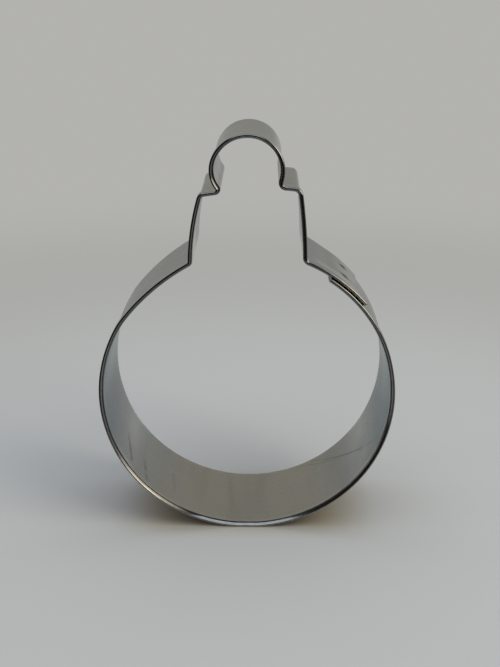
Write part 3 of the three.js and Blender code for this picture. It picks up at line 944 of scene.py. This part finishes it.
def new_material(name):
    """An empty node material and its nodes."""
    material = bpy.data.materials.new(name)
    material.use_nodes = True
    material.node_tree.nodes.clear()
    return material, material.node_tree


def new_metal(name):
    """A node material with a bare metal shader."""
    material, tree = new_material(name)
    shader = add(tree, "ShaderNodeBsdfPrincipled", {"Metallic": 1.0})
    add(tree, "ShaderNodeOutputMaterial", {"Surface": shader.outputs[0]})
    return material, tree, shader


def strip_steel(finish):
    """Cold rolled steel: grain along the strip, forming bands across it, scratches, smudges, rubbed edges,
    painted shade and dirt inside the fold and heat colours round the welds."""
    material, tree, shader = new_metal("strip_steel")
    flat = add(tree, "ShaderNodeUVMap", uv_map=STRIP_UV).outputs[0]
    place = add(tree, "ShaderNodeTexCoord").outputs["Object"]
    rubbed = attribute(tree, WEAR)
    grain = put(tree, "Rolled grain", {"Map": flat})
    forming = put(tree, "Forming marks", {"Map": flat})
    hairlines = put(tree, "Hairline scratches", {"Map": flat, "Amount": finish.hairline_amount})["Mask"]
    marks = maths(tree, "MAXIMUM", marks_mask(tree, flat, SCRATCHES), marks_mask(tree, flat, SMEARS))
    wear = put(tree, "Edge wear", {"Map": flat, "Edge": rubbed})["Mask"]
    tint = put(tree, "Heat tint", {"Heat": attribute(tree, HEAT)})
    smudge = noise(tree, place, scale=120.0, detail=4.0)

    pressed = times(tree, forming["Mask"], finish.forming_share)
    scratched = times(tree, hairlines, finish.hairline_share)
    steel = blend(tree, grain["Tone"], opaque(finish.steel), opaque(finish.steel, finish.grain_tone))
    steel = blend(tree, pressed, steel, opaque(finish.steel, finish.forming_tone))
    steel = blend(tree, scratched, steel, opaque(finish.steel, finish.hairline_tone))
    steel = blend(tree, marks, steel, opaque(finish.scored))
    steel = blend(tree, wear, steel, opaque(finish.worn))
    steel = blend(tree, tint["Mask"], steel, tint["Colour"])
    # Painted shade and dirt darken the inside of the fold and the sheet under the flap
    steel = blend(tree, attribute(tree, CREVICE), steel, opaque(finish.soiled_and_shaded))
    tree.links.new(steel, shader.inputs["Base Color"])

    smooth = finish.roughness - finish.roughness_spread
    coarse = finish.roughness + finish.roughness_spread
    rough = ramp(tree, smudge, low=0.3, high=0.7, to_low=smooth, to_high=coarse)
    rough = maths(tree, "MULTIPLY_ADD", hairlines, finish.hairline_roughness, rough)
    rough = maths(tree, "MULTIPLY_ADD", rubbed, -finish.wear_polish, rough)
    tree.links.new(rough, shader.inputs["Roughness"])

    waves = add(tree, "ShaderNodeBump", {"Height": forming["Height"], "Distance": finish.wave_height})
    lines = times(tree, grain["Height"], maths(tree, "SUBTRACT", 1.0, rubbed))
    fine = {"Height": lines, "Distance": finish.grain_height, "Normal": waves.outputs[0]}
    tree.links.new(add(tree, "ShaderNodeBump", fine).outputs[0], shader.inputs["Normal"])
    return material


def weld_steel(finish):
    """Fused metal: dull, mottled and tinted by heat."""
    material, tree, shader = new_metal("weld_steel")
    place = add(tree, "ShaderNodeTexCoord").outputs["Object"]
    mottle = noise(tree, place, scale=2600.0, detail=4.0)
    heat = ramp(tree, mottle, low=0.2, high=0.8, to_low=0.5, to_high=1.0)
    tinted = put(tree, "Heat tint", {"Heat": heat})["Colour"]
    fused = blend(tree, ramp(tree, mottle, low=0.35, high=0.65), opaque(finish.weld), tinted)
    rough = ramp(tree, mottle, low=0.2, high=0.8, to_low=0.4, to_high=0.65)
    pits = add(tree, "ShaderNodeBump", {"Height": mottle, "Distance": finish.pit_height})
    tree.links.new(fused, shader.inputs["Base Color"])
    tree.links.new(rough, shader.inputs["Roughness"])
    tree.links.new(pits.outputs[0], shader.inputs["Normal"])
    return material


# Pieces

class CutterBuildBand(bpy.types.Operator):
    """Builds the bent strip with its hem, lap and weld prints."""

    bl_idname = "cutter.build_band"
    bl_label = "Build band"

    def execute(self, context):
        sizes = Sizes(context.scene)
        vertices, faces, distance, parts, at = strip_mesh(sizes)
        section = np.concatenate(parts)
        band = new_piece("bent_strip", vertices, faces, strip_steel(context.scene.cutter_finish))
        if len(band.data.vertices) != len(at) * len(section):
            raise RuntimeError("the strip's mesh lost vertices")
        strip_uv(band, at, section)
        paint_strip(band, sizes, distance, parts, len(at))
        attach(band, "root")
        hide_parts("band")
        return {"FINISHED"}


class CutterBuildWelds(bpy.types.Operator):
    """Builds the two spot welds of the lap."""

    bl_idname = "cutter.build_welds"
    bl_label = "Build welds"

    def execute(self, context):
        sizes = Sizes(context.scene)
        material = weld_steel(context.scene.cutter_finish)
        for place, depth in zip(("front", "rear"), sizes.weld_depths):
            weld = new_piece(f"weld_{place}", *weld_mesh(sizes, depth), material)
            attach(weld, "root")
            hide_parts(f"spot_weld_{place}")
        return {"FINISHED"}


# Stage

# Where the floor changes, in metres: the warm shade under the strip, and the lit floor that the steel sees
SHADE_FRONT = (-0.016, -0.008)
SHADE_BACK = (0.004, 0.016)
SHADE_SIDE = (0.014, 0.03)
LIT_FRONT = (-0.03, 0.0)
LIT_BACK = (0.008, 0.022)

# Distances over which the floor's tone changes, in metres, one for the camera and three for the steel
PALE_RISE = (0.15, 0.32)
FAR_RISE = (0.02, 0.185)
FAR_DROP = (0.2, 0.23)
LEFT_DROP = (0.19, 0.3)

# Directions over which the room changes, as parts of a direction of length one
FACING_BACK = (0.3, 0.6)
FACING_RIGHT = (0.5, 0.9)
FLANK = (0.05, 0.25)
FAR_RIGHT = (0.3, 0.42)
FAR_LEFT = (-0.35, -0.1)
DIM_LEFT = (-0.5, -0.25)
RIGHT_WALL = (0.4, 0.75)
WINDOW_SILL = (0.0, 0.3)
WINDOW_TOP = (0.62, 0.9)
BACKDROP_RISE = (0.1, 0.4)
BACKDROP_TOP = (0.55, 0.7)
DOME_RISE = (0.25, 0.9)

# How bright the floor behind is in the middle and to the sides, far behind, and to the right
FLANK_TONES = (0.96, 1.3)
FAR_TONE = 0.72
RIGHT_TONE = 0.54


def room_on_floor(tree, stage, axes, away):
    """The floor as the steel sees it. Ahead it is dim, with a strip of table and a pale wall to the right.
    Behind it grows paler with distance, then falls off, and it is dimmer to the right and the left."""
    slant = maths(tree, "DIVIDE", axes["X"], away)
    depth = maths(tree, "DIVIDE", axes["Y"], away)
    edge, soft = stage.table_edge, stage.table_fade
    on_table = ramp(tree, axes["Y"], edge - soft, edge + soft)
    table = times(tree, on_table, fall(tree, away, stage.pool_from, stage.pool_to))
    facing_right = ramp(tree, slant, *FACING_RIGHT)
    beyond = blend(tree, facing_right, opaque(stage.room_front), opaque(stage.room_right))
    ahead = blend(tree, table, beyond, opaque(stage.table_front))

    tone = ramp(tree, maths(tree, "ABSOLUTE", slant), *FLANK, *FLANK_TONES)
    tone = times(tree, tone, fall(tree, away, *FAR_DROP, FAR_TONE))
    tone = times(tree, tone, fall(tree, slant, *FAR_RIGHT, RIGHT_TONE))
    shade = blend(tree, ramp(tree, slant, *DIM_LEFT), opaque(stage.room_left), tone)
    behind = blend(tree, ramp(tree, away, *FAR_RISE), opaque(stage.room_floor), opaque(stage.room_far))
    behind = blend(tree, 1.0, behind, shade, kind="MULTIPLY")
    far_left = times(tree, fall(tree, slant, *FAR_LEFT), ramp(tree, away, *LEFT_DROP))
    behind = blend(tree, far_left, behind, opaque(stage.room_low))
    return blend(tree, ramp(tree, depth, *FACING_BACK), ahead, behind)


def floor_material(stage):
    """A pale matt floor that keeps the shadow. Away from the cutter the camera sees it fade into the plain
    backdrop, and the steel sees it fade into the room."""
    material, tree = new_material("stage_floor")
    place = add(tree, "ShaderNodeTexCoord").outputs["Object"]
    axes = add(tree, "ShaderNodeSeparateXYZ", {0: place}).outputs
    away = add(tree, "ShaderNodeVectorMath", {0: place}, operation="LENGTH").outputs["Value"]
    path = add(tree, "ShaderNodeLightPath").outputs
    fade = ramp(tree, away, stage.fade_from, stage.fade_to)

    wide = fall(tree, maths(tree, "ABSOLUTE", axes["X"]), *SHADE_SIDE)
    shaded = times(tree, between(tree, axes["Y"], SHADE_FRONT, SHADE_BACK), wide)
    near = blend(tree, shaded, opaque(stage.floor_near), opaque(stage.floor_under))
    matt = blend(tree, fade, near, opaque(stage.backdrop))
    mottle = noise(tree, place, scale=30.0, detail=3.0)
    rough = ramp(tree, mottle, low=0.3, high=0.7, to_low=0.85, to_high=0.95)
    surface = {"Base Color": matt, "Roughness": rough, "Specular IOR Level": 0.1}
    paper = add(tree, "ShaderNodeBsdfPrincipled", surface)

    # Painted shade: a darker band on the floor before it fades into the backdrop
    pale = blend(tree, ramp(tree, away, *PALE_RISE), opaque(stage.floor_far_shaded), opaque(stage.backdrop))
    distant = blend(tree, path["Is Glossy Ray"], pale, room_on_floor(tree, stage, axes, away))
    plain = add(tree, "ShaderNodeEmission", {"Color": distant, "Strength": 1.0})

    in_pool = fall(tree, away, stage.pool_from, stage.pool_to)
    lit = times(tree, between(tree, axes["Y"], LIT_FRONT, LIT_BACK), in_pool)
    for_camera = times(tree, fade, path["Is Camera Ray"])
    for_steel = times(tree, maths(tree, "SUBTRACT", 1.0, lit), path["Is Glossy Ray"])
    share = maths(tree, "MAXIMUM", for_camera, for_steel)
    mixed = add(tree, "ShaderNodeMixShader", {0: share, 1: paper.outputs[0], 2: plain.outputs[0]})
    add(tree, "ShaderNodeOutputMaterial", {"Surface": mixed.outputs[0]})
    return material


def add_floor(stage):
    """A round floor: rings of points whose radii grow by a steady ratio."""
    first_share = 0.01
    ring_count = 24
    spoke_count = 72
    rings = np.geomspace(first_share * stage.floor_radius, stage.floor_radius, ring_count)
    turns = np.linspace(0.0, 2 * math.pi, spoke_count, endpoint=False)
    plan = polar(rings[:, None, None], turns[None])
    points = np.concatenate([plan, np.zeros((ring_count, spoke_count, 1))], axis=-1)
    vertices = np.concatenate([points.reshape(-1, 3), np.zeros((1, 3))])
    faces = grid_faces(ring_count, spoke_count).tolist()
    faces += fan(0, spoke_count, ring_count * spoke_count).tolist()
    floor = new_piece("stage_floor", vertices, faces, floor_material(stage))


def set_world(stage):
    """A plain pale ground for the camera, and for the steel a room that is dim in front and pale behind."""
    world = bpy.data.worlds.new("studio")
    bpy.context.scene.world = world
    world.use_nodes = True
    tree = world.node_tree
    tree.nodes.clear()
    way = add(tree, "ShaderNodeTexCoord").outputs["Generated"]
    axes = add(tree, "ShaderNodeSeparateXYZ", {0: way}).outputs
    path = add(tree, "ShaderNodeLightPath").outputs
    up = axes["Z"]

    behind = blend(tree, ramp(tree, up, *BACKDROP_RISE), opaque(stage.room_low), opaque(stage.room_back))
    behind = blend(tree, ramp(tree, up, *BACKDROP_TOP), behind, opaque(stage.room_high))
    wall = blend(tree, ramp(tree, up, *WINDOW_SILL), opaque(stage.room_right), opaque(stage.window))
    wall = blend(tree, ramp(tree, up, *WINDOW_TOP), wall, opaque(stage.room_front))
    sides = blend(tree, ramp(tree, axes["X"], *RIGHT_WALL), opaque(stage.room_front), wall)
    room = blend(tree, ramp(tree, axes["Y"], *FACING_BACK), sides, behind)
    zenith = opaque(stage.dome_high, stage.dome_strength)
    dome = blend(tree, ramp(tree, up, *DOME_RISE), opaque(stage.dome_low), zenith)
    unseen = blend(tree, path["Is Glossy Ray"], dome, room)
    shown = blend(tree, path["Is Camera Ray"], unseen, opaque(stage.backdrop))
    ground = add(tree, "ShaderNodeBackground", {"Color": shown})
    add(tree, "ShaderNodeOutputWorld", {"Surface": ground.outputs[0]})


def add_softbox(name, distance, power, tint, size, azimuth, height):
    """A square soft light that faces the cutter and isn't seen by the camera."""
    lamp = bpy.data.lights.new(name, "AREA")
    lamp.energy = power
    lamp.color = tint
    lamp.size = size
    softbox = bpy.data.objects.new(name, lamp)
    bpy.context.scene.collection.objects.link(softbox)
    level = math.cos(height)
    way = (math.sin(azimuth) * level, -math.cos(azimuth) * level, math.sin(height))
    softbox.location = tuple(distance * part for part in way)
    softbox.rotation_euler = (math.pi / 2 - height, 0.0, azimuth)
    softbox.visible_camera = False
    return softbox


def add_camera(stage):
    """A camera at the photographer's place."""
    lens = bpy.data.cameras.new("camera")
    lens.lens = stage.focal / MM
    lens.clip_start = stage.near_clip
    camera = bpy.data.objects.new("camera", lens)
    bpy.context.scene.collection.objects.link(camera)
    camera.location = (stage.camera_x, stage.camera_y, stage.camera_z)
    camera.rotation_euler = (stage.camera_tilt, 0.0, stage.camera_yaw)
    bpy.context.scene.camera = camera


class CutterSetStage(bpy.types.Operator):
    """Sets the floor, the light and the camera. The key light only casts the shadow, and the other two
    lights show only in the steel."""

    bl_idname = "cutter.set_stage"
    bl_label = "Set stage"

    def execute(self, context):
        stage = context.scene.cutter_stage
        context.scene.view_settings.view_transform = "Standard"
        add_floor(stage)
        set_world(stage)
        for name in ("key", "glint", "top"):
            parts = ("power", "colour", "size", "azimuth", "height")
            values = (getattr(stage, f"{name}_{part}") for part in parts)
            softbox = add_softbox(name, stage.lamp_distance, *values)
            softbox.visible_glossy = name != "key"
            softbox.visible_diffuse = name == "key"
        add_camera(stage)
        return {"FINISHED"}


# Panel and registration

class CutterPanel(bpy.types.Panel):
    """Lists the cutter's pieces and its stage."""

    bl_idname = "VIEW3D_PT_cutter"
    bl_label = "Cookie cutter"
    bl_space_type = "VIEW_3D"
    bl_region_type = "UI"
    bl_category = "Cutter"

    def draw(self, context):
        for operator in OPERATORS:
            self.layout.operator(operator.bl_idname)


GROUPS = {
    "cutter_strip": CutterStrip,
    "cutter_outline": CutterOutline,
    "cutter_lap": CutterLap,
    "cutter_finish": CutterFinish,
    "cutter_stage": CutterStage,
}
OPERATORS = (CutterBuildBand, CutterBuildWelds, CutterSetStage)
CLASSES = (*GROUPS.values(), *OPERATORS, CutterPanel)


def register():
    """Registers the classes and hangs their settings on the scene."""
    for item in CLASSES:
        bpy.utils.register_class(item)
    for name, group in GROUPS.items():
        setattr(bpy.types.Scene, name, PointerProperty(type=group))


def unregister():
    """Takes the settings and the classes away again."""
    for name in GROUPS:
        delattr(bpy.types.Scene, name)
    for item in reversed(CLASSES):
        bpy.utils.unregister_class(item)


def main():
    """Builds the dressed cutter and its stage."""
    register()
    for make_group in (
        rolled_grain_group,
        forming_marks_group,
        hairlines_group,
        long_mark_group,
        edge_wear_group,
        heat_tint_group,
    ):
        make_group()
    bpy.ops.cutter.build_band()
    bpy.ops.cutter.build_welds()
    bpy.ops.cutter.set_stage()


if __name__ == "__main__":
    main()
